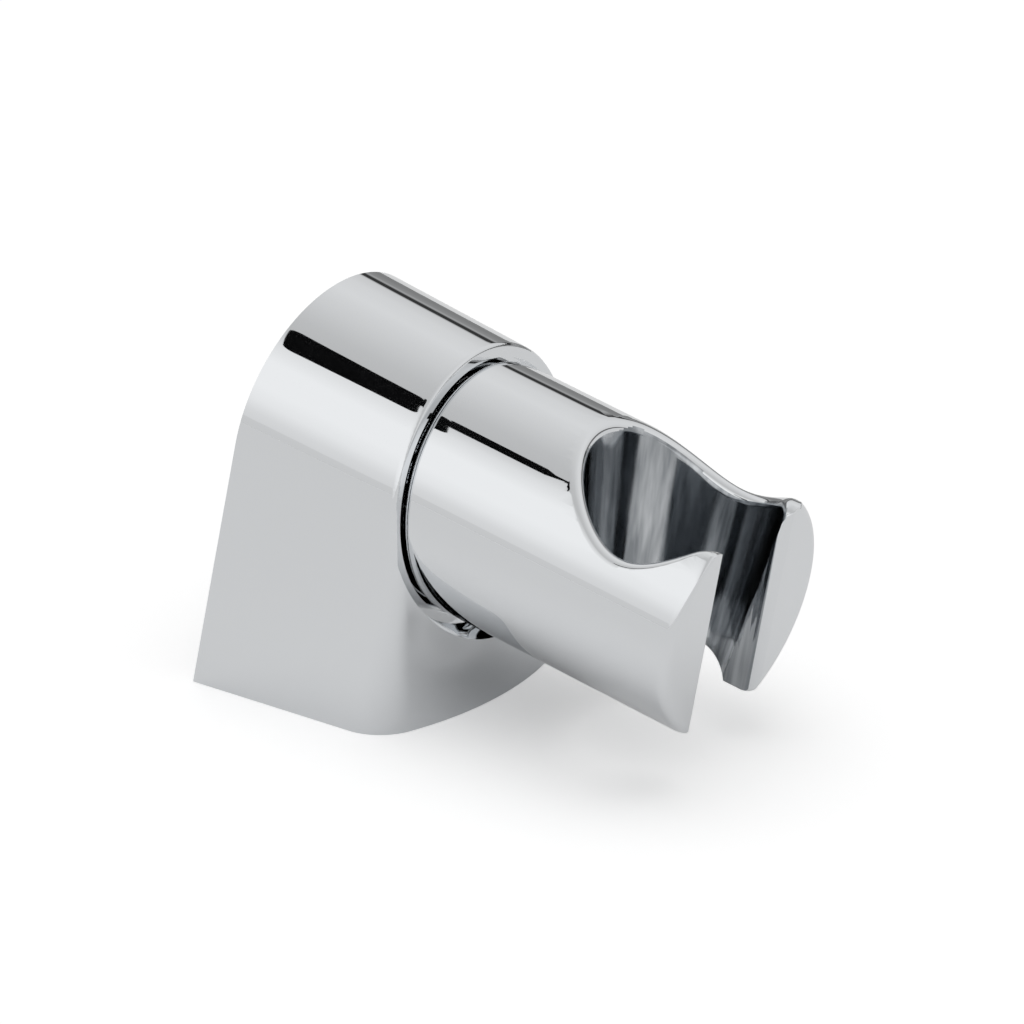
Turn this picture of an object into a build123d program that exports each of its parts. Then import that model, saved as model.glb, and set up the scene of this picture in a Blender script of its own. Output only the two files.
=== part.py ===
from build123d import *
from math import asin, atan2, cos, hypot, radians, sin, tan
import os

# Hand shower holder for a bathroom wall: a hollow plated body with a swivelling fork arm.
# It stands on its flat foot, as it does before it is fitted, so +Z is up from the foot and
# the arm points to -Y. The wall face leans forward over the foot. Once that face is on a
# vertical wall the arm is level and the foot rises towards the front.
# The origin is on the wall face, midway between the two wall screws. Lengths are in mm.

# Body, measured on the wall face unless a line says otherwise
LEAN = 10.0                # angle between the wall face and the upright, degrees
SCREW_HEIGHT = 24.0        # wall screws above the foot's back edge, along the wall face
AXIS_HEIGHT = 33.3         # centre of the arched top above the foot's back edge
ARCH_RADIUS = 19.3         # arched top at the wall
FOOT_WIDTH = 44.5          # foot at the wall
FOOT_DEPTH = 34.7          # foot from the wall to the front, on its centre line
FRONT_RADIUS = 45.0        # bulge of the front face, seen from above
CORNER_RADIUS = 7.2        # upright front corners, seen from above
DRAFT = 2.2                # all sides narrow towards the front, degrees
SHELL_WALL = 2.5
FOOT_WALL = 3.0

# Collar: the upright ring that the arm turns against
COLLAR_DEPTH = 31.0        # collar plane in front of the foot's back edge, level
RECESS_RADIUS = 18.2       # round recess that bares the collar, at the collar plane
RECESS_FLARE = 20.7        # its wall opens towards the front, degrees
LIP_RADIUS = 0.7           # rounded outer edge of the collar
SOCKET_RADIUS = 17.0       # shallow counterbore that the arm's rounded end dips into
SOCKET_DEPTH = 1.0
COLLAR_WALL = 4.0          # wall left behind the counterbore

# Arm and fork
ARM_RADIUS = 16.5          # where the arm leaves the collar
ARM_DRAFT = 0.46           # degrees
ARM_END = 66.4             # end face in front of the wall face, along the arm
ARM_DIP = 0.3              # how far the arm's rear face dips into the counterbore
ARM_REAR_ROUND = 1.3
SEAT_DISTANCE = 55.25      # seat for the hose cone in front of the wall face, along the arm
SEAT_TOP_RADIUS = 12.4
SEAT_BOTTOM_RADIUS = 9.0
SLOT_WIDTH = 13.0
ARM_END_ROUND = 1.2
MOUTH_ROUND = 2.2          # upright edges where the slot meets the end face
MOUTH_CREASE = 0.16        # how far short of the end face that rounding would end
RIM_ROUND = 0.8            # upper rim of the seat and the slot
LOW_RIM_ROUND = 0.5

# Swivel
JOURNAL_RADIUS = 5.0
RUNNING_CLEARANCE = 0.05   # radial, journal in its bush
SEAT_CLEARANCE = 0.15      # radial, loose rings in their pockets
BUSH_WALL = 1.45
HUB_RADIUS = 9.5
HUB_LENGTH = 5.5           # behind the collar wall
THREAD_CLEARANCE = 0.05    # threads are plain, this far apart
ARM_THREAD_RADIUS = 4.0
ARM_THREAD_LENGTH = 9.5
NUT_THREAD_RADIUS = 3.0
KEY_FLAT = 2.3             # spindle axis to the flat that keys the washer
THRUST_RING_WIDTH = 3.6
THRUST_RING_SET = 0.8      # how deep its pocket is
O_RING_SECTION = 0.85      # radius of the rubber
REAR_RING_THICKNESS = 1.0
KEY_WASHER_THICKNESS = 1.0
SPRING_THICKNESS = 0.6
SPRING_CONE = 0.45         # height of the cone in each disc spring
PLAIN_WASHER_THICKNESS = 1.0
WASHER_RADIUS = 7.0
NUT_ACROSS_FLATS = 10.0
NUT_HEX_HEIGHT = 3.8
NUT_COLLAR_HEIGHT = 1.2
NUT_COLLAR_WALL = 0.6
NUT_RING_WALL = 0.7
THREAD_PAST_NUT = 0.8
STOP_RADIUS = 12.8         # stop pin from the swivel axis
STOP_PIN_RADIUS = 1.25
STOP_PIN_REACH = 1.5       # past the arm's rear face
STOP_SLOT_CLEARANCE = 0.25
SWIVEL_LIMIT = 90.0        # each way from rest, degrees

# Wall plate and its fixings
PLATE_THICKNESS = 3.0
PLATE_CLEARANCE = 0.25     # round its edge
PLATE_LIFT = 1.8           # gap over the foot wall that lets the body lift off the hook
WALL_SCREW_SPACING = 23.0
WALL_SCREW_HOLE_RADIUS = 3.25   # oversize, so that the plate can be levelled
SCREW_PAD_RADIUS = 5.2
SCREW_PAD_HEIGHT = 1.2
HOOK_WIDTH = 10.0
HOOK_THICKNESS = 1.5
HOOK_RISE = 1.8            # upstand that holds the body's rib
HOOK_DROP = 8.6            # hook shelf below the top of the arch
RIB_THICKNESS = 1.6
RIB_CLEARANCE = 0.3
LUG_WIDTH = 10.0
LUG_HEIGHT = 4.0
LUG_GAP = 1.8              # from the screw boss up to the lug
GRUB_RADIUS = 2.5
GRUB_DISTANCE = 8.5        # grub screw in front of the foot's back edge
GRUB_RECESS = 0.5
GRUB_POINT = 1.7           # length of its cone point
GRUB_BITE = 1.0            # how far the point reaches into the lug's dimple
GRUB_KEY = 2.5             # socket across flats
GRUB_KEY_DEPTH = 2.2
GRUB_BOSS_RADIUS = 4.6
GRUB_BOSS_HEIGHT = 1.6

EPS = 0.5                  # overrun of cutting tools past the faces that they cut
TINY = 0.01                # how close a measured place has to be to count as the same
FIT = 0.03                 # radial, pieces that are pressed in
RIM_SEARCH = 0.6           # how far from its outside the arm's rim edges may lie

# Planes that the pieces are built on
lean = radians(LEAN)
foot_edge = Vector(0, SCREW_HEIGHT * sin(lean), -SCREW_HEIGHT * cos(lean))
WALL = Plane(origin=foot_edge, x_dir=(1, 0, 0), z_dir=(0, -cos(lean), -sin(lean)))
FOOT = Plane(origin=foot_edge, x_dir=(1, 0, 0), z_dir=(0, 0, 1))
GRUB = Plane(origin=foot_edge + Vector(0, -GRUB_DISTANCE, 0), x_dir=(1, 0, 0), z_dir=(0, 0, 1))
collar_up = AXIS_HEIGHT / cos(lean) - COLLAR_DEPTH * tan(lean)
collar_centre = foot_edge + Vector(0, -COLLAR_DEPTH, collar_up)
COLLAR = Plane(origin=collar_centre, x_dir=(1, 0, 0), z_dir=(0, -1, 0))
STOP = Plane(origin=collar_centre + Vector(0, 0, STOP_RADIUS), x_dir=(1, 0, 0), z_dir=(0, -1, 0))
ARM = Plane(origin=WALL.origin + WALL.y_dir * AXIS_HEIGHT, x_dir=(1, 0, 0), z_dir=WALL.z_dir)
seat_centre = ARM.origin + ARM.z_dir * SEAT_DISTANCE
SEAT = Plane(origin=seat_centre, x_dir=(1, 0, 0), z_dir=WALL.y_dir)

# Places along the swivel axis, from the collar plane: positive is towards the fork
flare = atan2(FOOT_WIDTH / 2, AXIS_HEIGHT) - asin(ARCH_RADIUS / hypot(FOOT_WIDTH / 2, AXIS_HEIGHT))
bulge = FOOT_DEPTH - COLLAR_DEPTH + EPS
socket_floor = -SOCKET_DEPTH
wall_back = socket_floor - COLLAR_WALL
hub_end = wall_back - HUB_LENGTH
thrust_back = socket_floor - THRUST_RING_SET
bush_front = thrust_back - 2 * O_RING_SECTION
key_front = hub_end - REAR_RING_THICKNESS
journal_end = key_front + REAR_RING_THICKNESS / 2
spring_front = key_front - KEY_WASHER_THICKNESS
spring_middle = spring_front - SPRING_THICKNESS - SPRING_CONE
plain_front = spring_middle - SPRING_THICKNESS - SPRING_CONE
nut_front = plain_front - PLAIN_WASHER_THICKNESS
nut_back = nut_front - NUT_HEX_HEIGHT
spindle_back = nut_back - NUT_COLLAR_HEIGHT - THREAD_PAST_NUT

# Radii that mating pieces share
bush_bore = JOURNAL_RADIUS + RUNNING_CLEARANCE
bush_outer = bush_bore + BUSH_WALL
o_ring_radius = bush_bore + O_RING_SECTION
o_ring_outer = o_ring_radius + O_RING_SECTION
thrust_inner = o_ring_radius + SEAT_CLEARANCE
thrust_outer = thrust_inner + THRUST_RING_WIDTH
thread_hole = NUT_THREAD_RADIUS + THREAD_CLEARANCE
nut_ring = thread_hole + NUT_RING_WALL
nut_collar = nut_ring + FIT + NUT_COLLAR_WALL

# Heights above the foot, and the hook's height along the wall face
hook_level = AXIS_HEIGHT + ARCH_RADIUS - HOOK_DROP
boss_top = FOOT_WALL + GRUB_BOSS_HEIGHT
lug_level = boss_top + LUG_GAP


def disc(plane, start, end, radius):
    """Round bar along a plane's normal, between two distances from the plane."""
    middle = plane.offset((start + end) / 2)
    return middle * Cylinder(radius, abs(end - start))


def ring(plane, start, end, outer, inner):
    """Flat ring or tube along a plane's normal."""
    low, high = sorted((start, end))
    return disc(plane, low, high, outer) - disc(plane, low - EPS, high + EPS, inner)


def slab(plane, x, y, z):
    """Box given by its low and high values along a plane's own three directions."""
    size = [high - low for low, high in (x, y, z)]
    centre = [(high + low) / 2 for low, high in (x, y, z)]
    return plane * Pos(*centre) * Box(*size)


def hexagon(plane, start, end, across_flats):
    """Hexagonal bar along a plane's normal."""
    low, high = sorted((start, end))
    outline = RegularPolygon(across_flats / 2, 6, major_radius=False)
    return extrude(plane.offset(low) * outline, high - low)


def arch_face(inset, drop):
    """Arched outline of the body on the wall face, drawn in by inset, run down by drop."""
    radius = ARCH_RADIUS - inset
    side = Vector(radius * cos(flare), AXIS_HEIGHT + radius * sin(flare))
    half = side.X + (side.Y + drop) * tan(flare)
    outline = Polyline((-side.X, side.Y), (-half, -drop), (half, -drop), (side.X, side.Y))
    top = ThreePointArc((-side.X, side.Y), (0, AXIS_HEIGHT + radius), (side.X, side.Y))
    return make_face(outline.edges() + top.edges())


def plan_face(inset):
    """Outline of the body seen from above: tapered sides, bulged front, round corners."""
    taper = sin(lean) * tan(flare) + cos(lean) * tan(radians(DRAFT))
    back = FOOT_DEPTH / 2
    reach = 2 * FOOT_DEPTH
    half = FOOT_WIDTH / 2 - inset
    sides = Polygon(
        (half + back * taper, back),
        (-half - back * taper, back),
        (-half + reach * taper, -reach),
        (half - reach * taper, -reach),
        align=None,
    )
    outline = sides & Pos(0, FRONT_RADIUS - FOOT_DEPTH) * Circle(FRONT_RADIUS - inset)
    corners = outline.vertices().filter_by(lambda corner: corner.Y < -FOOT_DEPTH / 2)
    return fillet(corners, CORNER_RADIUS - inset)


def drafted_form(inset):
    """Arch and sides, narrowing from the wall face to past the front."""
    return extrude(WALL * arch_face(inset, FOOT_DEPTH / 4), FOOT_DEPTH * 1.2, taper=DRAFT)


def upright_form(inset, floor):
    """Column over the foot with the outline of the body seen from above."""
    return extrude(FOOT.offset(floor) * plan_face(inset), 2 * (AXIS_HEIGHT + ARCH_RADIUS))


def make_arched_end():
    """Upper half of the body, cut off at the collar plane, with its outer edge rounded."""
    over = 2 * FOOT_WIDTH
    arch = drafted_form(0) - slab(COLLAR, (-over, over), (-over, over), (0, over))
    collar_face = arch.faces().sort_by(Axis.Y)[0]
    arch = fillet(collar_face.edges().sort_by(Axis.Z)[1:], LIP_RADIUS)
    return arch & slab(COLLAR, (-over, over), (0, over), (-over, over))


def make_rib():
    """Rib under the top of the arch that drops behind the wall plate's hook."""
    half = HOOK_WIDTH / 2
    back = PLATE_THICKNESS + RIB_CLEARANCE
    top = AXIS_HEIGHT + ARCH_RADIUS - SHELL_WALL / 2
    return slab(WALL, (-half, half), (hook_level + RIB_CLEARANCE, top), (back, back + RIB_THICKNESS))


def make_body_shell():
    """Hollow body: drafted arch, upright bulged front, and the round recess with its collar."""
    over = 2 * FOOT_WIDTH
    lower_half = drafted_form(0) & slab(COLLAR, (-over, over), (-over, 0), (-over, over))
    body = (make_arched_end() + lower_half) & upright_form(0, 0)
    mouth = RECESS_RADIUS + bulge * tan(radians(RECESS_FLARE))
    body -= COLLAR.offset(bulge / 2) * Cone(RECESS_RADIUS, mouth, bulge)
    hollow = drafted_form(SHELL_WALL) & upright_form(SHELL_WALL, FOOT_WALL)
    body -= hollow & slab(COLLAR, (-over, over), (-over, over), (-over, wall_back))
    body += disc(COLLAR, hub_end, wall_back + EPS, HUB_RADIUS)
    body += make_rib()
    body += disc(GRUB, FOOT_WALL / 2, boss_top, GRUB_BOSS_RADIUS)
    body -= disc(COLLAR, socket_floor, EPS, SOCKET_RADIUS)
    body -= disc(COLLAR, thrust_back, EPS, thrust_outer + SEAT_CLEARANCE)
    body -= disc(COLLAR, bush_front, EPS, o_ring_outer + FIT)
    body -= disc(COLLAR, hub_end - EPS, EPS, bush_outer + FIT)
    body -= disc(STOP, wall_back - EPS, EPS, STOP_PIN_RADIUS + FIT)
    body -= disc(GRUB, -EPS, boss_top + EPS, GRUB_RADIUS + THREAD_CLEARANCE)
    return body


def grub_point(lift):
    """Cone point of the grub screw, or the dimple that it seats in when lifted clear."""
    low = lug_level - GRUB_POINT + GRUB_BITE
    tip = GRUB_RADIUS - GRUB_POINT
    return GRUB.offset(low + GRUB_POINT / 2 + lift) * Cone(GRUB_RADIUS, tip, GRUB_POINT)


def make_grub_screw():
    """Socket screw that pulls the body down on the hook and locks it to the wall plate."""
    screw = disc(GRUB, GRUB_RECESS, lug_level - GRUB_POINT + GRUB_BITE, GRUB_RADIUS) + grub_point(0)
    return screw - hexagon(GRUB, GRUB_RECESS - EPS, GRUB_RECESS + GRUB_KEY_DEPTH, GRUB_KEY)


def make_wall_plate():
    """Cast plate that is screwed to the wall: its hook and its lug hold the body."""
    over = 2 * ARCH_RADIUS
    blank = extrude(WALL * arch_face(SHELL_WALL + PLATE_CLEARANCE, 0), PLATE_THICKNESS, taper=DRAFT)
    plate = blank - slab(FOOT, (-over, over), (-over, over), (-over, FOOT_WALL + PLATE_LIFT))
    half = HOOK_WIDTH / 2
    upstand = PLATE_THICKNESS + 2 * RIB_CLEARANCE + RIB_THICKNESS
    front = upstand + HOOK_THICKNESS
    plate += slab(WALL, (-half, half), (hook_level - HOOK_THICKNESS, hook_level), (EPS, front))
    plate += slab(WALL, (-half, half), (hook_level - EPS, hook_level + HOOK_RISE), (upstand, front))
    half = LUG_WIDTH / 2
    lug_reach = (-GRUB_DISTANCE - half, -PLATE_THICKNESS)
    plate += slab(FOOT, (-half, half), lug_reach, (lug_level, lug_level + LUG_HEIGHT))
    plate -= grub_point(THREAD_CLEARANCE)
    for side in (-1, 1):
        screw_hole = WALL * Pos(side * WALL_SCREW_SPACING / 2, SCREW_HEIGHT)
        hole = Plane(screw_hole)
        plate += disc(hole, EPS, PLATE_THICKNESS + SCREW_PAD_HEIGHT, SCREW_PAD_RADIUS)
        plate -= disc(hole, -EPS, PLATE_THICKNESS + SCREW_PAD_HEIGHT + EPS, WALL_SCREW_HOLE_RADIUS)
    return plate


def make_bush():
    """Plastic bush pressed into the hub, in which the spindle turns."""
    return ring(COLLAR, hub_end, bush_front, bush_outer, bush_bore)


def make_o_ring():
    """Rubber ring round the spindle that keeps water out and adds drag."""
    return COLLAR.offset((thrust_back + bush_front) / 2) * Torus(o_ring_radius, O_RING_SECTION)


def make_front_thrust_ring():
    """Slippery ring that the arm's rear face presses on."""
    return ring(COLLAR, thrust_back, -ARM_DIP, thrust_outer, thrust_inner)


def make_rear_thrust_ring():
    """Slippery ring between the end of the hub and the keyed washer."""
    return ring(COLLAR, key_front, hub_end, HUB_RADIUS, bush_bore)


def make_stop_pin():
    """Pin pressed into the collar wall that runs in the arm's curved slot."""
    return disc(STOP, wall_back, STOP_PIN_REACH - ARM_DIP, STOP_PIN_RADIUS)


def rim_edges(arm, side):
    """Edges where the seat and the slot meet the arm's round outside, above it or below."""
    found = []
    for edge in arm.edges():
        middle = SEAT.to_local_coords(edge @ 0.5)
        on_outside = abs(hypot(middle.X, middle.Z) - ARM_RADIUS) < RIM_SEARCH
        before_end = -middle.Y < ARM_END - SEAT_DISTANCE - TINY
        over_seat = middle.Y < SEAT_TOP_RADIUS + RIM_SEARCH
        if on_outside and before_end and over_seat and side * middle.Z > RIM_SEARCH:
            found.append(edge)
    return found


def make_arm():
    """Arm cut square at its end and parallel to the collar at its rear, with the hose seat."""
    rear = COLLAR_DEPTH * cos(lean) - collar_up * sin(lean)
    start = rear - ARM_RADIUS
    slope = tan(radians(ARM_DRAFT))
    length = ARM_END - start
    back_radius = ARM_RADIUS + (rear - start) * slope
    bar = ARM.offset(start + length / 2) * Cone(back_radius, back_radius - length * slope, length)
    over = 3 * ARM_RADIUS
    arm = bar - slab(COLLAR, (-over, over), (-over, over), (-over, -ARM_DIP))
    rear_face = arm.faces().sort_by(Axis.Y)[-1]
    arm = fillet(rear_face.edges(), ARM_REAR_ROUND)
    arm -= make_seat_cutter()
    arm = rounded_rim(arm, -1, LOW_RIM_ROUND)
    arm = rounded_rim(arm, 1, RIM_ROUND)
    arm &= fillet(bar.faces().sort_by(Axis.Y)[0].edges(), ARM_END_ROUND)
    arm -= disc(COLLAR, -ARM_DIP - EPS, ARM_THREAD_LENGTH + EPS, ARM_THREAD_RADIUS + THREAD_CLEARANCE)
    sweep = CenterArc((0, 0), STOP_RADIUS, 90 - SWIVEL_LIMIT, 2 * SWIVEL_LIMIT)
    track = SlotArc(sweep, 2 * (STOP_PIN_RADIUS + STOP_SLOT_CLEARANCE))
    arm -= extrude(COLLAR.offset(-ARM_DIP - EPS) * track, STOP_PIN_REACH + STOP_SLOT_CLEARANCE + EPS)
    return arm


def rounded_rim(arm, side, radius):
    """Round one rim. At a size whose rim can't take the radius, it stays sharp."""
    try:
        return fillet(rim_edges(arm, side), radius)
    except ValueError:
        print("rim left sharp on side", side)
        return arm


def make_seat_cutter():
    """Conical seat through the arm, open to the end through a slot with a rounded mouth."""
    height = 2 * (ARM_RADIUS + EPS)
    widen = (SEAT_TOP_RADIUS - SEAT_BOTTOM_RADIUS) * EPS / (2 * ARM_RADIUS)
    cone = SEAT * Cone(SEAT_BOTTOM_RADIUS - widen, SEAT_TOP_RADIUS + widen, height)
    half = SLOT_WIDTH / 2
    wide = half + MOUTH_ROUND
    reach = ARM_END - SEAT_DISTANCE
    turn = reach - MOUTH_ROUND + MOUTH_CREASE
    slot = Pos(0, -reach) * Rectangle(2 * half, 2 * reach)
    slot += Pos(0, -turn - reach) * Rectangle(2 * wide, 2 * reach)
    slot -= Pos(wide, -turn) * Circle(MOUTH_ROUND)
    slot -= Pos(-wide, -turn) * Circle(MOUTH_ROUND)
    return cone + extrude(SEAT.offset(-height / 2) * slot, height)


def make_spindle():
    """Stepped spindle: threaded into the arm, a plain journal, and a flatted tail."""
    spindle = disc(COLLAR, -ARM_DIP, ARM_THREAD_LENGTH, ARM_THREAD_RADIUS)
    spindle += disc(COLLAR, journal_end, -ARM_DIP, JOURNAL_RADIUS)
    tail = disc(COLLAR, spindle_back, journal_end, NUT_THREAD_RADIUS)
    return spindle + (tail & key_form(0))


def key_form(clearance):
    """Block whose top side is the flat that keys the washer to the spindle."""
    over = 2 * NUT_THREAD_RADIUS
    return slab(COLLAR, (-over, over), (-over, KEY_FLAT + clearance), (spindle_back - EPS, 0))


def make_key_washer():
    """Steel washer with a flat in its hole, so that it turns with the spindle."""
    blank = disc(COLLAR, spring_front, key_front, HUB_RADIUS)
    hole = disc(COLLAR, spring_front - EPS, key_front + EPS, NUT_THREAD_RADIUS + THREAD_CLEARANCE)
    return blank - (hole & key_form(THREAD_CLEARANCE))


def make_disc_spring(front, cone):
    """Coned washer: its hole lies behind its rim by cone, or before it when negative."""
    inner = NUT_THREAD_RADIUS + THREAD_CLEARANCE
    rim = -front + max(0, -cone)
    hole = -front + max(0, cone)
    section = Polygon(
        (inner, hole),
        (WASHER_RADIUS, rim),
        (WASHER_RADIUS, rim + SPRING_THICKNESS),
        (inner, hole + SPRING_THICKNESS),
        align=None,
    )
    flat = Plane(origin=COLLAR.origin, x_dir=(1, 0, 0), z_dir=(0, 0, 1))
    return revolve(flat * section, Axis(COLLAR.origin, (0, 1, 0)))


def make_plain_washer():
    """Flat washer under the nut."""
    return ring(COLLAR, nut_front, plain_front, WASHER_RADIUS, NUT_THREAD_RADIUS + THREAD_CLEARANCE)


def make_lock_nut():
    """Hexagon nut with a thin collar that traps a nylon ring."""
    nut = hexagon(COLLAR, nut_back, nut_front, NUT_ACROSS_FLATS)
    nut += disc(COLLAR, nut_back - NUT_COLLAR_HEIGHT, nut_back + EPS, nut_collar)
    nut -= disc(COLLAR, nut_back - NUT_COLLAR_HEIGHT - EPS, nut_front + EPS, thread_hole)
    return nut - disc(COLLAR, nut_back - NUT_COLLAR_HEIGHT - EPS, nut_back, nut_ring + FIT)


def make_nut_ring():
    """Nylon ring that grips the thread."""
    return ring(COLLAR, nut_back - NUT_COLLAR_HEIGHT, nut_back, nut_ring, thread_hole)


pieces = {
    "body_shell": make_body_shell(),
    "wall_plate": make_wall_plate(),
    "grub_screw": make_grub_screw(),
    "bearing_bush": make_bush(),
    "o_ring": make_o_ring(),
    "front_thrust_ring": make_front_thrust_ring(),
    "rear_thrust_ring": make_rear_thrust_ring(),
    "stop_pin": make_stop_pin(),
    "swivel_arm": make_arm(),
    "pivot_spindle": make_spindle(),
    "key_washer": make_key_washer(),
    "disc_spring_front": make_disc_spring(spring_front, SPRING_CONE),
    "disc_spring_rear": make_disc_spring(spring_middle, -SPRING_CONE),
    "plain_washer": make_plain_washer(),
    "lock_nut": make_lock_nut(),
    "nut_ring": make_nut_ring(),
}

os.makedirs("parts", exist_ok=True)
for name, piece in pieces.items():
    export_step(piece, f"parts/{name}.step")
    print(name, "volume", round(piece.volume, 1), "mm3, solids", len(piece.solids()))
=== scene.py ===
# %% [markdown]
# # Hand shower holder
# A plated bracket for a bathroom wall: a hollow arched body with an upright collar, and a
# round arm with a forked seat that turns on the collar. The CAD model gives every size and
# place. This lesson loads it, gives each piece the finish of the real one, and stands it in
# a soft studio. Everything is in metres, with +Z up from the foot and the arm towards -Y.

# %% Load the CAD model
import bpy
import bmesh
from math import atan2, cos, pi, radians, sin, sqrt
from mathutils import Matrix, Vector


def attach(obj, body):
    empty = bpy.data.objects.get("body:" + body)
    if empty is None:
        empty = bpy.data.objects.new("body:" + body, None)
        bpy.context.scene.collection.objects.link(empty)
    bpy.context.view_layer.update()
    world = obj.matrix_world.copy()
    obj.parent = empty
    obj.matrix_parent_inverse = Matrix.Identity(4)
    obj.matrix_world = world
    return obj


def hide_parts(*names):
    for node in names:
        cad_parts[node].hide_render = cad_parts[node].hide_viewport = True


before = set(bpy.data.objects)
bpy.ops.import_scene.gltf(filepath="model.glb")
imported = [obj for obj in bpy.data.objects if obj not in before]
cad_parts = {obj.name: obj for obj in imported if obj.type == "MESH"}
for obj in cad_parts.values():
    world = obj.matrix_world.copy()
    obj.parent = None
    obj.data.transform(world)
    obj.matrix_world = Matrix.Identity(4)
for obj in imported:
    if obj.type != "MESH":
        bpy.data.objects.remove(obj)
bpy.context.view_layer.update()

# %% [markdown]
# The camera comes first, because the finish of polished metal is judged by what it mirrors,
# and that depends on where the viewer stands. A long lens half a metre away gives the mild
# perspective of a catalogue picture. The camera looks down at the holder from the front
# left, and its three directions fill the columns of its matrix.

# %% Camera
MM = 0.001
SIDE = Vector((1, 0, 0))
CAMERA_PLACE = Vector((-357.27, -301.78, 200.39)) * MM
VIEW_BACK = Vector((-0.72938, -0.55183, 0.40434)).normalized()
VIEW_RIGHT = Vector((0.60335, -0.79748, 0.0)).normalized()
VIEW_UP = VIEW_BACK.cross(VIEW_RIGHT)

camera_data = bpy.data.cameras.new("camera")
camera_data.lens = 135
camera_data.sensor_width = 36
camera_data.clip_start = 0.01
camera = bpy.data.objects.new("camera", camera_data)
turn = Matrix((VIEW_RIGHT, VIEW_UP, VIEW_BACK)).transposed()
camera.matrix_world = Matrix.Translation(CAMERA_PLACE) @ turn.to_4x4()
bpy.context.scene.collection.objects.link(camera)
bpy.context.scene.camera = camera
print("camera stands", round(CAMERA_PLACE.length, 3), "m from the wall face")

# %% [markdown]
# Four small helpers serve every material. Colours are written as hex values, as a paint
# card gives them, and Blender's shaders want them linear. A node is added with its settings
# and its links in one call, so that each material below reads as a list of its layers.

# %% Helpers for materials
def linear(hex_colour):
    """Linear RGBA of an sRGB hex colour such as E8E9EA."""
    channels = [int(hex_colour[i:i + 2], 16) / 255 for i in (0, 2, 4)]
    return [c / 12.92 if c <= 0.04045 else ((c + 0.055) / 1.055) ** 2.4
            for c in channels] + [1.0]


def add_node(tree, kind, settings=None, **inputs):
    """Add a node. An input is a value or a socket, named or as i and its number."""
    node = tree.nodes.new(kind)
    for key, value in (settings or {}).items():
        setattr(node, key, value)
    for key, value in inputs.items():
        numbered = key[0] == "i" and key[1:].isdigit()
        socket = node.inputs[int(key[1:]) if numbered else key.replace("_", " ")]
        if isinstance(value, bpy.types.NodeSocket):
            tree.links.new(value, socket)
        else:
            socket.default_value = value
    return node


def new_material(name):
    """A named material with an empty node tree."""
    material = bpy.data.materials.new(name)
    material.use_nodes = True
    material.node_tree.nodes.clear()
    return material, material.node_tree


def finish_material(tree, shader):
    """Send a shader to the surface."""
    output = add_node(tree, "ShaderNodeOutputMaterial")
    tree.links.new(shader.outputs[0], output.inputs["Surface"])


print("E8E9EA is linear", [round(channel, 3) for channel in linear("E8E9EA")])

# %% [markdown]
# Bright chrome is electroplated over a die casting that was ground and buffed. It mirrors
# nearly everything and is slightly blue. Buffing leaves swells a few millimetres across that
# bend a mirrored edge very slightly, and a faint haze where fingers and water have dried.
# The haze is a roughness from soft noise, with patches of about 10 mm, and the swells are a
# bump from another noise.

# %% Polished chrome plate
def polished_chrome():
    """Bright plate over a buffed casting."""
    material, tree = new_material("polished_chrome_plate")
    place = add_node(tree, "ShaderNodeTexCoord").outputs["Object"]
    haze = add_node(tree, "ShaderNodeTexNoise", Vector=place, Scale=90.0, Detail=3.0)
    roughness = add_node(tree, "ShaderNodeMapRange", Value=haze.outputs[0],
                         i1=0.35, i2=0.75, i3=0.02, i4=0.05)
    swells = add_node(tree, "ShaderNodeTexNoise", Vector=place, Scale=160.0, Detail=1.0)
    relief = add_node(tree, "ShaderNodeBump", Strength=0.02, Distance=0.0002,
                      Height=swells.outputs[0])
    chrome = add_node(tree, "ShaderNodeBsdfPrincipled", Base_Color=linear("E4E6E8"),
                      Metallic=1.0, Roughness=roughness.outputs[0],
                      Normal=relief.outputs[0])
    finish_material(tree, chrome)
    return material


chrome_plate = polished_chrome()
print("made", chrome_plate.name)

# %% [markdown]
# Inside the seat the buffing wheel doesn't reach, so the chrome there is a little rougher. Its
# colour is also painted darker, in streaks about 1 mm wide that run along the seat: this is
# painted shade and painted reflection of the deep recess, not a colour of the plate. The
# streaks come from a noise that is stretched along the seat's axis, which leans 10 degrees, so
# a mapping node turns and stretches it.

# %% Chrome with painted shade inside the seat
SEAT_LEAN = 10.0
STREAK_STRETCH = (1.0, 1.0, 0.06)


def painted_shade_plate():
    """Rougher chrome over an unbuffed cone, painted darker in streaks as painted shade."""
    material, tree = new_material("seat_chrome_painted_shade")
    place = add_node(tree, "ShaderNodeTexCoord").outputs["Object"]
    turned = add_node(tree, "ShaderNodeMapping", Vector=place,
                      Rotation=(radians(-SEAT_LEAN), 0, 0))
    pulled = add_node(tree, "ShaderNodeMapping", Vector=turned.outputs[0], Scale=STREAK_STRETCH)
    streaks = add_node(tree, "ShaderNodeTexNoise", Vector=pulled.outputs[0], Scale=420.0,
                       Detail=3.0, Roughness=0.6)
    # Painted shade and painted reflection: the streak noise mixes the seat's colour between
    # dark 8C9094 and light CDD0D3.
    depth = add_node(tree, "ShaderNodeMapRange", Value=streaks.outputs[0], i1=0.38, i2=0.68)
    tone = add_node(tree, "ShaderNodeMix", {"data_type": "RGBA"}, i0=depth.outputs[0],
                    i6=linear("8C9094"), i7=linear("CDD0D3"))
    roughness = add_node(tree, "ShaderNodeMapRange", Value=streaks.outputs[0],
                         i1=0.3, i2=0.7, i3=0.06, i4=0.16)
    plate = add_node(tree, "ShaderNodeBsdfPrincipled", Base_Color=tone.outputs[2],
                     Metallic=1.0, Roughness=roughness.outputs[0])
    finish_material(tree, plate)
    return material


seat_painted_shade = painted_shade_plate()
print("made", seat_painted_shade.name)

# %% [markdown]
# The wall plate is a zinc die casting that stays as it left the die, because nobody sees it
# once the body is on. The die's skin is dull, a little cloudy, and grained like fine sand.
# Clouds of two greys give the colour, and a noise of 0.4 mm grains gives the sandy bump.

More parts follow.
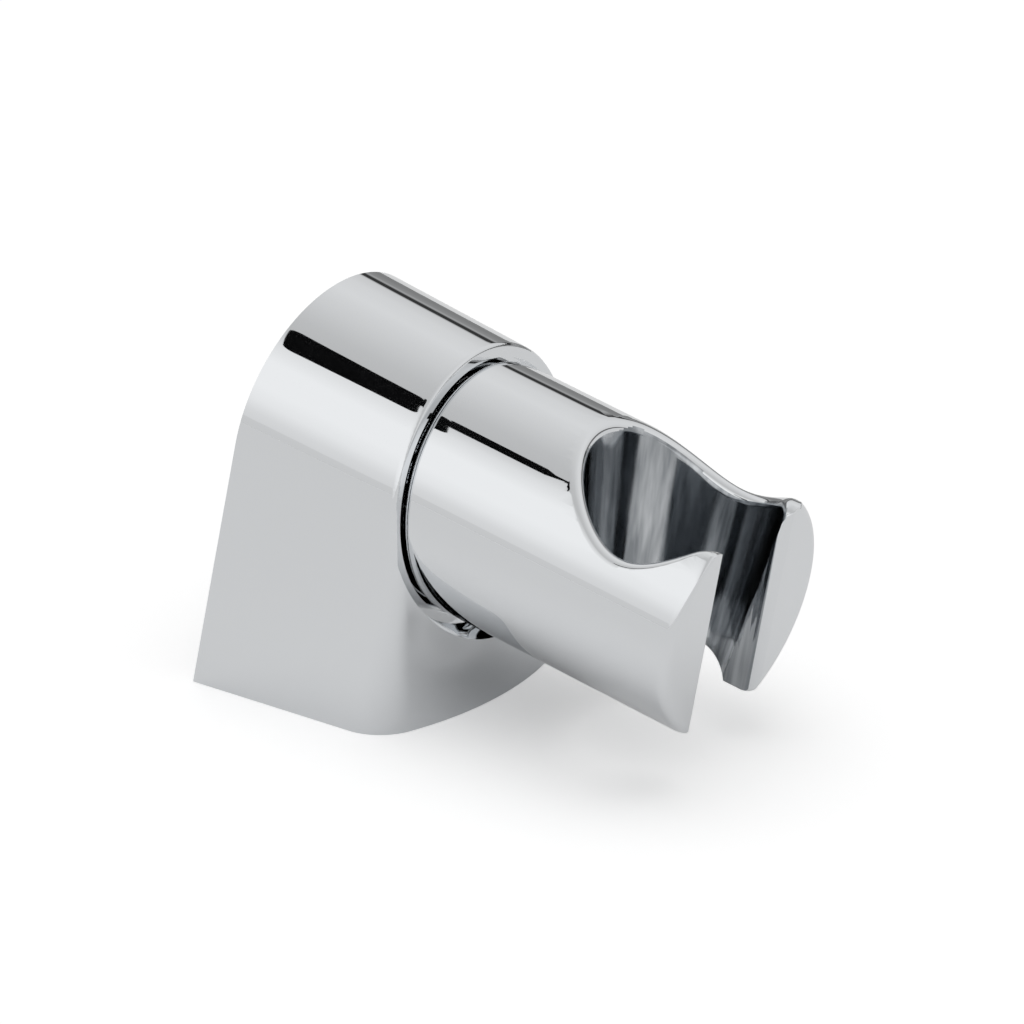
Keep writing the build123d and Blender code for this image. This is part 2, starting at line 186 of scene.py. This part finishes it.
# %% Cast zinc
def cast_zinc():
    """Dull skin of a die casting."""
    material, tree = new_material("cast_zinc")
    place = add_node(tree, "ShaderNodeTexCoord").outputs["Object"]
    clouds = add_node(tree, "ShaderNodeTexNoise", Vector=place, Scale=140.0, Detail=4.0)
    grey = add_node(tree, "ShaderNodeMix", {"data_type": "RGBA"}, i0=clouds.outputs[0],
                    i6=linear("A4A7AA"), i7=linear("B9BBBC"))
    grain = add_node(tree, "ShaderNodeTexNoise", Vector=place, Scale=2500.0, Detail=2.0)
    roughness = add_node(tree, "ShaderNodeMapRange", Value=clouds.outputs[0],
                         i1=0.3, i2=0.7, i3=0.42, i4=0.58)
    relief = add_node(tree, "ShaderNodeBump", Strength=0.35, Distance=0.00005,
                      Height=grain.outputs[0])
    zinc = add_node(tree, "ShaderNodeBsdfPrincipled", Base_Color=grey.outputs[2],
                    Metallic=1.0, Roughness=roughness.outputs[0], Normal=relief.outputs[0])
    finish_material(tree, zinc)
    return material


zinc_casting = cast_zinc()
print("made", zinc_casting.name)

# %% [markdown]
# The screw, the spindle, the pin, the washers and the nut are stainless steel turned from
# bar. A turning tool leaves fine rings round the axis. Real rings lie 0.05 mm apart, which a
# picture can't show, so they are drawn 0.2 mm apart. The rings come from a wave texture that
# a mapping node centres on the axis that the piece was turned on. At a scale of 1 the wave
# repeats every 0.314 m, which gives the scale for any pitch.

# %% Turned stainless steel
COLLAR_CENTRE = Vector((0, -26.83, 4.71)) * MM
GRUB_CENTRE = Vector((0, -4.33, -21.34)) * MM
RING_PITCH = 0.2 * MM
WAVE_PERIOD = 0.314


def turned_stainless(name, centre, axis):
    """Steel with turning rings round one axis through a centre."""
    material, tree = new_material(name)
    place = add_node(tree, "ShaderNodeTexCoord").outputs["Object"]
    centred = add_node(tree, "ShaderNodeMapping", Vector=place, Location=-centre)
    rings = add_node(tree, "ShaderNodeTexWave",
                     {"wave_type": "RINGS", "rings_direction": axis},
                     Vector=centred.outputs[0], Scale=WAVE_PERIOD / RING_PITCH, Distortion=0.6)
    roughness = add_node(tree, "ShaderNodeMapRange", Value=rings.outputs["Fac"],
                         i3=0.2, i4=0.32)
    relief = add_node(tree, "ShaderNodeBump", Strength=0.15, Distance=0.00002,
                      Height=rings.outputs["Fac"])
    steel = add_node(tree, "ShaderNodeBsdfPrincipled", Base_Color=linear("CDCBC8"),
                     Metallic=1.0, Roughness=roughness.outputs[0], Normal=relief.outputs[0])
    finish_material(tree, steel)
    return material


spindle_steel = turned_stainless("turned_stainless_steel", COLLAR_CENTRE, "Y")
screw_steel = turned_stainless("turned_stainless_screw", GRUB_CENTRE, "Z")
print("made", spindle_steel.name, "and", screw_steel.name)

# %% [markdown]
# The two disc springs are hardened spring steel, tempered dark and left with a film of oil.
# Temper colour is uneven, so two dark tones mingle, and the oil makes its smooth patches
# glossier than the bare ones.

# %% Oiled spring steel
def spring_steel():
    """Dark tempered steel with a film of oil."""
    material, tree = new_material("oiled_spring_steel")
    place = add_node(tree, "ShaderNodeTexCoord").outputs["Object"]
    temper = add_node(tree, "ShaderNodeTexNoise", Vector=place, Scale=400.0, Detail=3.0)
    tone = add_node(tree, "ShaderNodeMix", {"data_type": "RGBA"}, i0=temper.outputs[0],
                    i6=linear("3C3B3E"), i7=linear("5A5A60"))
    roughness = add_node(tree, "ShaderNodeMapRange", Value=temper.outputs[0],
                         i1=0.3, i2=0.7, i3=0.22, i4=0.4)
    steel = add_node(tree, "ShaderNodeBsdfPrincipled", Base_Color=tone.outputs[2],
                     Metallic=1.0, Roughness=roughness.outputs[0])
    finish_material(tree, steel)
    return material


spring_plate = spring_steel()
print("made", spring_plate.name)

# %% [markdown]
# Four small parts are moulded: the bearing bush and the thrust rings in white acetal, the
# ring in the lock nut in nylon, and the O-ring in nitrile rubber. All three plastics take
# the die's satin or matt face, and differ in colour, gloss and refractive index. One
# function gives that face, with a faint mottle of the roughness and a bump far under 0.1 mm.

# %% Moulded plastics and rubber
def moulded(name, colours, roughness_range, refraction):
    """Moulded face in two close tones of one colour."""
    material, tree = new_material(name)
    place = add_node(tree, "ShaderNodeTexCoord").outputs["Object"]
    mottle = add_node(tree, "ShaderNodeTexNoise", Vector=place, Scale=900.0, Detail=2.0)
    tone = add_node(tree, "ShaderNodeMix", {"data_type": "RGBA"}, i0=mottle.outputs[0],
                    i6=linear(colours[0]), i7=linear(colours[1]))
    roughness = add_node(tree, "ShaderNodeMapRange", Value=mottle.outputs[0],
                         i1=0.3, i2=0.7, i3=roughness_range[0], i4=roughness_range[1])
    relief = add_node(tree, "ShaderNodeBump", Strength=0.1, Distance=0.00003,
                      Height=mottle.outputs[0])
    skin = add_node(tree, "ShaderNodeBsdfPrincipled", Base_Color=tone.outputs[2],
                    Roughness=roughness.outputs[0], IOR=refraction, Normal=relief.outputs[0])
    finish_material(tree, skin)
    return material


acetal = moulded("moulded_acetal", ("E6E5DE", "EDECE6"), (0.3, 0.4), 1.48)
nylon = moulded("moulded_nylon", ("D5DADE", "DFE3E6"), (0.38, 0.48), 1.53)
rubber = moulded("nitrile_rubber", ("1A1A1B", "222223"), (0.55, 0.7), 1.52)
print("made", acetal.name, nylon.name, rubber.name)

# %% [markdown]
# The CAD nodes have the right shapes, so they stay, and each gets its finish in its own
# material slot. A CAD mesh is made of loose triangles, which would mirror the studio as
# facets. A Weld modifier joins their corners, so that the shading runs smoothly over them,
# and an Edge Split keeps it crisp at every edge over 30 degrees. The triangles of a curved
# face differ in size, and a plain average of their directions would bend a mirrored line,
# so a last modifier weights them by area and angle. None of the three changes the shapes.

# %% Put the finishes on the CAD nodes
FINISHES = {
    chrome_plate: ("body_shell", "swivel_arm"),
    zinc_casting: ("wall_plate",),
    screw_steel: ("grub_screw",),
    spindle_steel: ("pivot_spindle", "key_washer", "plain_washer", "lock_nut", "stop_pin"),
    spring_plate: ("disc_spring_front", "disc_spring_rear"),
    acetal: ("bearing_bush", "front_thrust_ring", "rear_thrust_ring"),
    rubber: ("o_ring",),
    nylon: ("nut_ring",),
}
WELD_REACH = 0.001 * MM
CRISP_ANGLE = radians(30)

for material, nodes in FINISHES.items():
    for node in nodes:
        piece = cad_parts[node]
        piece.data.materials.clear()
        piece.data.materials.append(material)
        weld = piece.modifiers.new("weld", "WELD")
        weld.merge_threshold = WELD_REACH
        crisp = piece.modifiers.new("crisp_edges", "EDGE_SPLIT")
        crisp.split_angle = CRISP_ANGLE
        even = piece.modifiers.new("even_normals", "WEIGHTED_NORMAL")
        even.mode = "FACE_AREA_WITH_ANGLE"
        even.keep_sharp = True
        print(node, "in", material.name, "with", len(piece.data.polygons), "triangles")

# %% [markdown]
# The seat's upper rim is the most handled edge of the arm, and the real one is buffed to a
# generous round, and so are the tips of the two prongs. The solid has smaller rounds,
# because the rim runs where a cone, a round bar and a slot meet. The arm is therefore
# copied, its corners are merged, and two cutters that have the rounds built in take the rest
# away. A rim's round is the path of a ball that rolls along it and touches both faces. Here
# the ball touches the seat's cone and the outer face, or the softer round of a tip, and its
# place is found by a few rounds of trial. Lengths are in millimetres from the seat's centre.

# %% The ball that rolls along the rim
SEAT_CENTRE = Vector((0, -56.0256, -0.4353))
ARM_AXIS = Vector((0, -0.984808, -0.173648))
SEAT_UP = Vector((0, -0.173648, 0.984808))
ARM_RADIUS = 16.26
SEAT_LOW, SEAT_HIGH = 8.85, 13.1
SEAT_DEPTH = 33.0
SEAT_SLOPE = atan2(SEAT_HIGH - SEAT_LOW, SEAT_DEPTH)
RIM_ROUND = 1.35
SLOT_HALF = 6.5
TIP_ROUND = 2.8
TIP_SIDE = SLOT_HALF + TIP_ROUND
TIP_HEIGHT = sqrt((ARM_RADIUS - TIP_ROUND) ** 2 - TIP_SIDE ** 2)
TIP_REACH = TIP_SIDE * (ARM_RADIUS - RIM_ROUND) / (ARM_RADIUS - TIP_ROUND)
TIP_STOP = 0.93
FIRST_HEIGHT = 10.0
TRIALS = 40


def seat_radius(height):
    """Radius of the seat at a height over its centre."""
    return SEAT_LOW + (SEAT_HIGH - SEAT_LOW) * (height + SEAT_DEPTH / 2) / SEAT_DEPTH


def ball_under_face(side, at_tips):
    """Height of a ball that touches the outer face, and the way from it to that face."""
    if at_tips and side < TIP_REACH:
        spare = TIP_ROUND - RIM_ROUND
        inward = max(side - TIP_SIDE, -TIP_STOP * spare)
        rise = sqrt(spare ** 2 - inward ** 2)
        fade = min(side / SLOT_HALF, 1.0)
        return TIP_HEIGHT + rise, Vector((inward * fade, 0, rise)).normalized()
    height = sqrt((ARM_RADIUS - RIM_ROUND) ** 2 - side ** 2)
    return height, Vector((side, 0, height)).normalized()


def rolling_ball(outward):
    """Centre of the ball in one direction, and its ways to the seat and to the outside."""
    seat_normal = Vector((0, 0, sin(SEAT_SLOPE))) - outward * cos(SEAT_SLOPE)
    height = FIRST_HEIGHT
    for _ in range(TRIALS):
        reach = seat_radius(height + RIM_ROUND * seat_normal.z) + RIM_ROUND * cos(SEAT_SLOPE)
        height, to_outside = ball_under_face(abs(reach * outward.x), outward.y > 0)
    if outward.x < 0:
        to_outside.x = -to_outside.x
    return outward * reach + Vector((0, 0, height)), seat_normal, to_outside


ball, to_seat, to_outside = rolling_ball(Vector((0, -1, 0)))
print("behind the seat the ball's centre is", round(ball.z, 2), "mm up")

# %% [markdown]
# The first cutter is a stack of rings about the seat's axis. It starts as a circle that is
# extruded ring by ring, and each ring's corners are moved: first up the cone, then along the
# ball's arc from the seat to the outside, then out of the arm and straight up.

# %% The cutter for the seat's upper rim
RING_CORNERS = 240
ROUND_STEPS = 9
ROUND_STOP = 0.94
CONE_LEVELS = (-22.0, -16.0, -8.0, 0.0)
RUN_OUT, RUN_OUT_LIFT = 1.5, 0.05
CUTTER_TOP = 30.0


def rim_column(turn):
    """Places up the cutter's side in one direction, with the rolling ball's arc among them."""
    outward = Vector((sin(turn), cos(turn), 0))
    ball, to_seat, to_outside = rolling_ball(outward)
    sweep = to_seat.angle(to_outside)
    column = [outward * seat_radius(low) + Vector((0, 0, low)) for low in CONE_LEVELS]
    for step in range(ROUND_STEPS + 1):
        part = ROUND_STOP * step / ROUND_STEPS
        pull = (to_seat * sin((1 - part) * sweep) + to_outside * sin(part * sweep)) / sin(sweep)
        column.append(ball + pull * RIM_ROUND)
    onward = (column[-1] - column[-2]).normalized()
    column.append(column[-1] + onward * RUN_OUT + to_outside * RUN_OUT_LIFT)
    column.append(Vector((column[-1].x, column[-1].y, CUTTER_TOP)))
    return column


def lay_ring(ring, columns, level):
    """Move a ring's corners to one level of the columns."""
    for corner, column in zip(ring, columns):
        place = column[level]
        corner.co = (SEAT_CENTRE + SIDE * place.x + ARM_AXIS * place.y + SEAT_UP * place.z) * MM


def new_object(name, mesh):
    """An object at the origin that holds a finished bmesh."""
    data = bpy.data.meshes.new(name)
    mesh.to_mesh(data)
    mesh.free()
    made = bpy.data.objects.new(name, data)
    bpy.context.scene.collection.objects.link(made)
    return made


cutter_mesh = bmesh.new()
columns = [rim_column(2 * pi * corner / RING_CORNERS) for corner in range(RING_CORNERS)]
ring = bmesh.ops.create_circle(cutter_mesh, segments=RING_CORNERS, radius=1.0)["verts"]
edges = list(cutter_mesh.edges)
bmesh.ops.contextual_create(cutter_mesh, geom=edges)
lay_ring(ring, columns, 0)
for level in range(1, len(columns[0])):
    grown = bmesh.ops.extrude_edge_only(cutter_mesh, edges=edges)["geom"]
    fresh = {part for part in grown if isinstance(part, bmesh.types.BMVert)}
    edges = [part for part in grown if isinstance(part, bmesh.types.BMEdge)
             and fresh.issuperset(part.verts)]
    ring = [next(edge.other_vert(corner) for edge in corner.link_edges
                 if edge.other_vert(corner) in fresh) for corner in ring]
    lay_ring(ring, columns, level)
bmesh.ops.contextual_create(cutter_mesh, geom=edges)
bmesh.ops.recalc_face_normals(cutter_mesh, faces=cutter_mesh.faces)
rim_cutter = new_object("rim_cutter", cutter_mesh)
print("rim cutter of", len(rim_cutter.data.vertices), "corners")

# %% [markdown]
# The two prongs end in soft tips, rounded where the slot's side meets the outer face. The
# second cutter has the shape of what is missing there. One vertex is spun about the round's
# centre, the profile is closed over the tip, pushed out along the arm, and mirrored. Its
# closing corners lie in the open slot and above the arm, where there is nothing to cut.

# %% The cutter for the tips
TIP_FROM, TIP_TO = radians(172), radians(52)
TIP_STEPS = 14
TIP_START, TIP_LENGTH = 5.0, 9.0
CLOSING = ((12.0, 11.5), (12.0, 30.0), (3.0, 30.0), (3.0, 8.6), (6.2, 8.6))

tip_mesh = bmesh.new()
first = tip_mesh.verts.new((TIP_SIDE + TIP_ROUND * cos(TIP_FROM), TIP_START,
                            TIP_HEIGHT + TIP_ROUND * sin(TIP_FROM)))
bmesh.ops.spin(tip_mesh, geom=[first], cent=(TIP_SIDE, 0, TIP_HEIGHT), axis=(0, 1, 0),
               angle=TIP_FROM - TIP_TO, steps=TIP_STEPS)
profile = list(tip_mesh.verts)
for side, height in CLOSING:
    profile.append(tip_mesh.verts.new((side, TIP_START, height)))
outline = tip_mesh.faces.new(profile)
pushed = bmesh.ops.extrude_face_region(tip_mesh, geom=[outline], use_keep_orig=True)["geom"]
bmesh.ops.translate(tip_mesh, vec=(0, TIP_LENGTH, 0),
                    verts=[part for part in pushed if isinstance(part, bmesh.types.BMVert)])
bmesh.ops.mirror(tip_mesh, geom=tip_mesh.verts[:] + tip_mesh.edges[:] + tip_mesh.faces[:],
                 axis="X", merge_dist=-1.0)
seat_frame = Matrix((SIDE * MM, ARM_AXIS * MM, SEAT_UP * MM)).transposed().to_4x4()
bmesh.ops.transform(tip_mesh, matrix=Matrix.Translation(SEAT_CENTRE * MM) @ seat_frame,
                    verts=tip_mesh.verts)
bmesh.ops.recalc_face_normals(tip_mesh, faces=tip_mesh.faces)
tip_cutter = new_object("tip_cutter", tip_mesh)
print("tip cutter of", len(tip_cutter.data.polygons), "faces")

# %% [markdown]
# Two Booleans take the cutters out of the merged copy. The result is kept as a plain mesh, its
# edges over 30 degrees are marked sharp, and it stands for the arm of the CAD model. The faces
# of the seat and of the slot's sides take the streaky chrome with painted shade, and all others
# the bright. A face counts as the seat's where it lies no more than a quarter millimetre
# outside it.

# %% The arm with its buffed rim
SEAT_SKIN = 0.25

copy = bmesh.new()
copy.from_mesh(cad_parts["swivel_arm"].data)
bmesh.ops.remove_doubles(copy, verts=copy.verts, dist=WELD_REACH)
merged = bpy.data.meshes.new("merged_arm")
copy.to_mesh(merged)
copy.free()
buffed_arm = bpy.data.objects.new("buffed_arm", merged)
bpy.context.scene.collection.objects.link(buffed_arm)
for tool in (rim_cutter, tip_cutter):
    cut = buffed_arm.modifiers.new(tool.name, "BOOLEAN")
    cut.operation = "DIFFERENCE"
    cut.solver = "EXACT"
    cut.object = tool
graph = bpy.context.evaluated_depsgraph_get()
arm_data = bpy.data.meshes.new_from_object(buffed_arm.evaluated_get(graph))
buffed_arm.modifiers.clear()
buffed_arm.data = arm_data
bpy.data.objects.remove(rim_cutter)
bpy.data.objects.remove(tip_cutter)
arm_data.name = "buffed_arm"
arm_data.polygons.foreach_set("use_smooth", [True] * len(arm_data.polygons))
arm_data.set_sharp_from_angle(angle=CRISP_ANGLE)
arm_data.materials.clear()
arm_data.materials.append(chrome_plate)
arm_data.materials.append(seat_painted_shade)
# The faces in the seat and the slot get the chrome with painted shade.
for face in arm_data.polygons:
    place = face.center / MM - SEAT_CENTRE
    level, ahead = place.dot(SEAT_UP), place.dot(ARM_AXIS)
    in_seat = Vector((place.x, ahead)).length < seat_radius(level) + SEAT_SKIN
    in_slot = ahead > 0 and abs(place.x) < SLOT_HALF + SEAT_SKIN
    if abs(level) < ARM_RADIUS - RIM_ROUND and (in_seat or in_slot):
        face.material_index = 1
even = buffed_arm.modifiers.new("even_normals", "WEIGHTED_NORMAL")
even.mode = "FACE_AREA_WITH_ANGLE"
even.keep_sharp = True
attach(buffed_arm, "arm")
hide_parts("swivel_arm")
print("buffed arm of", len(arm_data.polygons), "faces")

# %% [markdown]
# The holder stands on a white studio table. The table is a large flat sheet that takes the
# soft shadow of the holder as a matt surface does. For what the camera sees directly, a
# little glow is added, so that the open table is as white as the background while the
# shadow stays. The plated metal mirrors the table without that glow.

# %% Studio table
TABLE_HEIGHT = -23.6354 * MM
TABLE_REACH = 4.0
TABLE_GLOW = 0.3


def table_material():
    """Matt white, brought up to the background's white for the camera."""
    material, tree = new_material("matt_white_table")
    matt = add_node(tree, "ShaderNodeBsdfDiffuse", Color=linear("F4F4F4"))
    ray = add_node(tree, "ShaderNodeLightPath")
    strength = add_node(tree, "ShaderNodeMath", {"operation": "MULTIPLY"},
                        i0=ray.outputs["Is Camera Ray"], i1=TABLE_GLOW)
    glow = add_node(tree, "ShaderNodeEmission", Strength=strength.outputs[0])
    both = add_node(tree, "ShaderNodeAddShader", i0=matt.outputs[0], i1=glow.outputs[0])
    finish_material(tree, both)
    return material


table_mesh = bmesh.new()
bmesh.ops.create_grid(table_mesh, x_segments=1, y_segments=1, size=TABLE_REACH)
bmesh.ops.translate(table_mesh, verts=table_mesh.verts, vec=(0, 0, TABLE_HEIGHT))
table = new_object("studio_table", table_mesh)
table.data.materials.append(table_material())
print("table", 2 * TABLE_REACH, "m across")

# %% [markdown]
# Chrome has no look of its own: it shows the room. Product photographers therefore put such
# a piece in a tent of white cloth. The tent here is the world. It is a long tunnel of cloth
# that runs along the arm, so its brightness depends only on the angle round the arm, from 0
# on the right over 90 at the top to 180 on the left, with a dark seam near 16 degrees.
# Metal sees the tunnel, and the camera sees a white background. Matt things are lit by an
# open sky that is brightest overhead, which gives the holder a soft shadow below it, and
# lights a level surface at a plain strength.

# %% Light tent
ROOF = ARM_AXIS.cross(SIDE)
TENT = (
    (-180, 0.72), (-40, 0.3), (0, 0.24), (9, 0.3), (12, 0.47), (13.5, 0.04), (18.5, 0.04),
    (20, 0.7), (34, 0.8), (50, 0.84), (74, 0.74), (94, 0.63), (106, 0.6),
    (120, 0.9), (134, 1.05), (154, 1.05), (165, 0.98), (174, 0.84), (180, 0.8),
)
OVERHEAD = 2.0
OVERHEAD_POWER = 3.0

scene = bpy.context.scene
scene.view_settings.view_transform = "Standard"
world = bpy.data.worlds.new("light_tent")
scene.world = world
world.use_nodes = True
tent = world.node_tree
tent.nodes.clear()

direction = add_node(tent, "ShaderNodeTexCoord").outputs["Object"]
across = add_node(tent, "ShaderNodeVectorMath", {"operation": "DOT_PRODUCT"},
                  i0=direction, i1=SIDE)
upward = add_node(tent, "ShaderNodeVectorMath", {"operation": "DOT_PRODUCT"},
                  i0=direction, i1=ROOF)
angle = add_node(tent, "ShaderNodeMath", {"operation": "ARCTAN2"},
                 i0=upward.outputs["Value"], i1=across.outputs["Value"])
along = add_node(tent, "ShaderNodeMapRange", Value=angle.outputs[0], i1=-pi, i2=pi)
cloth = add_node(tent, "ShaderNodeValToRGB", Fac=along.outputs[0])
steps = cloth.color_ramp.elements
while len(steps) > 1:
    steps.remove(steps[0])
steps[0].position = 0.0
steps[0].color = (TENT[0][1], TENT[0][1], TENT[0][1], 1)
for degree, level in TENT[1:]:
    step = steps.new((degree + 180) / 360)
    step.color = (level, level, level, 1)
print("tent with", len(steps), "steps round the arm")

# %% Sky for matt things, and the white background
height = add_node(tent, "ShaderNodeVectorMath", {"operation": "DOT_PRODUCT"},
                  i0=direction, i1=(0, 0, 1))
open_part = add_node(tent, "ShaderNodeMath", {"operation": "MAXIMUM"},
                     i0=height.outputs["Value"], i1=0.0)
bunched = add_node(tent, "ShaderNodeMath", {"operation": "POWER"},
                   i0=open_part.outputs[0], i1=OVERHEAD_POWER)
strength = add_node(tent, "ShaderNodeMath", {"operation": "MULTIPLY"},
                    i0=bunched.outputs[0], i1=OVERHEAD)
ray = add_node(tent, "ShaderNodeLightPath")
tunnel = add_node(tent, "ShaderNodeBackground", Color=cloth.outputs["Color"])
sky = add_node(tent, "ShaderNodeBackground", Color=(1, 1, 1, 1), Strength=strength.outputs[0])
white = add_node(tent, "ShaderNodeBackground", Color=(1, 1, 1, 1), Strength=1.0)
lit = add_node(tent, "ShaderNodeMixShader", i0=ray.outputs["Is Glossy Ray"],
               i1=sky.outputs[0], i2=tunnel.outputs[0])
seen = add_node(tent, "ShaderNodeMixShader", i0=ray.outputs["Is Camera Ray"],
                i1=lit.outputs[0], i2=white.outputs[0])
tent_output = add_node(tent, "ShaderNodeOutputWorld")
tent.links.new(seen.outputs[0], tent_output.inputs["Surface"])
print("a level matt surface gets", round(2 * OVERHEAD / (OVERHEAD_POWER + 2), 2), "of white")

# %% [markdown]
# The crisp black bar along the top left of the metal is a strip of black card that hangs
# over the holder. It is wide over the body, with rounded corners, and narrow over the arm.
# Two rectangles are made as grids and laid in the card's own directions, 60 mm out along the
# line that the metal mirrors towards the camera. Each gives its ends along the card and its
# edges across it, in millimetres. The card shows in the metal only: it is hidden from the
# camera and from matt surfaces, and casts no shadow.

# %% Black card
CARD_MIDDLE = Vector((0, -30, 10)) * MM
CARD_OUT = Vector((-0.30724, 0.30648, 0.90093))
CARD_ALONG = Vector((-0.15841, -0.94998, 0.26914))
CARD_ACROSS = CARD_OUT.cross(CARD_ALONG)
CARD_DISTANCE = 60 * MM
CARD_STRIPS = (((-19.0, 1.9), (-15.6, -3.6)), ((1.8, 28.0), (-9.4, -3.4)))
CARD_CORNER = 1.6 * MM

card_mesh = bmesh.new()
for (start, end), (left, right) in CARD_STRIPS:
    strip = bmesh.ops.create_grid(card_mesh, x_segments=1, y_segments=1, size=0.5)["verts"]
    bmesh.ops.scale(card_mesh, verts=strip, vec=((end - start) * MM, (right - left) * MM, 1))
    bmesh.ops.translate(card_mesh, verts=strip,
                        vec=((end + start) / 2 * MM, (right + left) / 2 * MM, CARD_DISTANCE))
bmesh.ops.bevel(card_mesh, geom=card_mesh.verts[:4], offset=CARD_CORNER, segments=4,
                affect="VERTICES", profile=0.5, material=-1)
lay = Matrix((CARD_ALONG, CARD_ACROSS, CARD_OUT)).transposed().to_4x4()
bmesh.ops.transform(card_mesh, matrix=Matrix.Translation(CARD_MIDDLE) @ lay,
                    verts=card_mesh.verts)
card = new_object("black_card", card_mesh)
black, black_tree = new_material("black_card")
matt_black = add_node(black_tree, "ShaderNodeBsdfDiffuse", Color=linear("101011"))
finish_material(black_tree, matt_black)
card.data.materials.append(black)
card.visible_camera = False
card.visible_diffuse = False
card.visible_shadow = False
print("card strips", CARD_STRIPS)
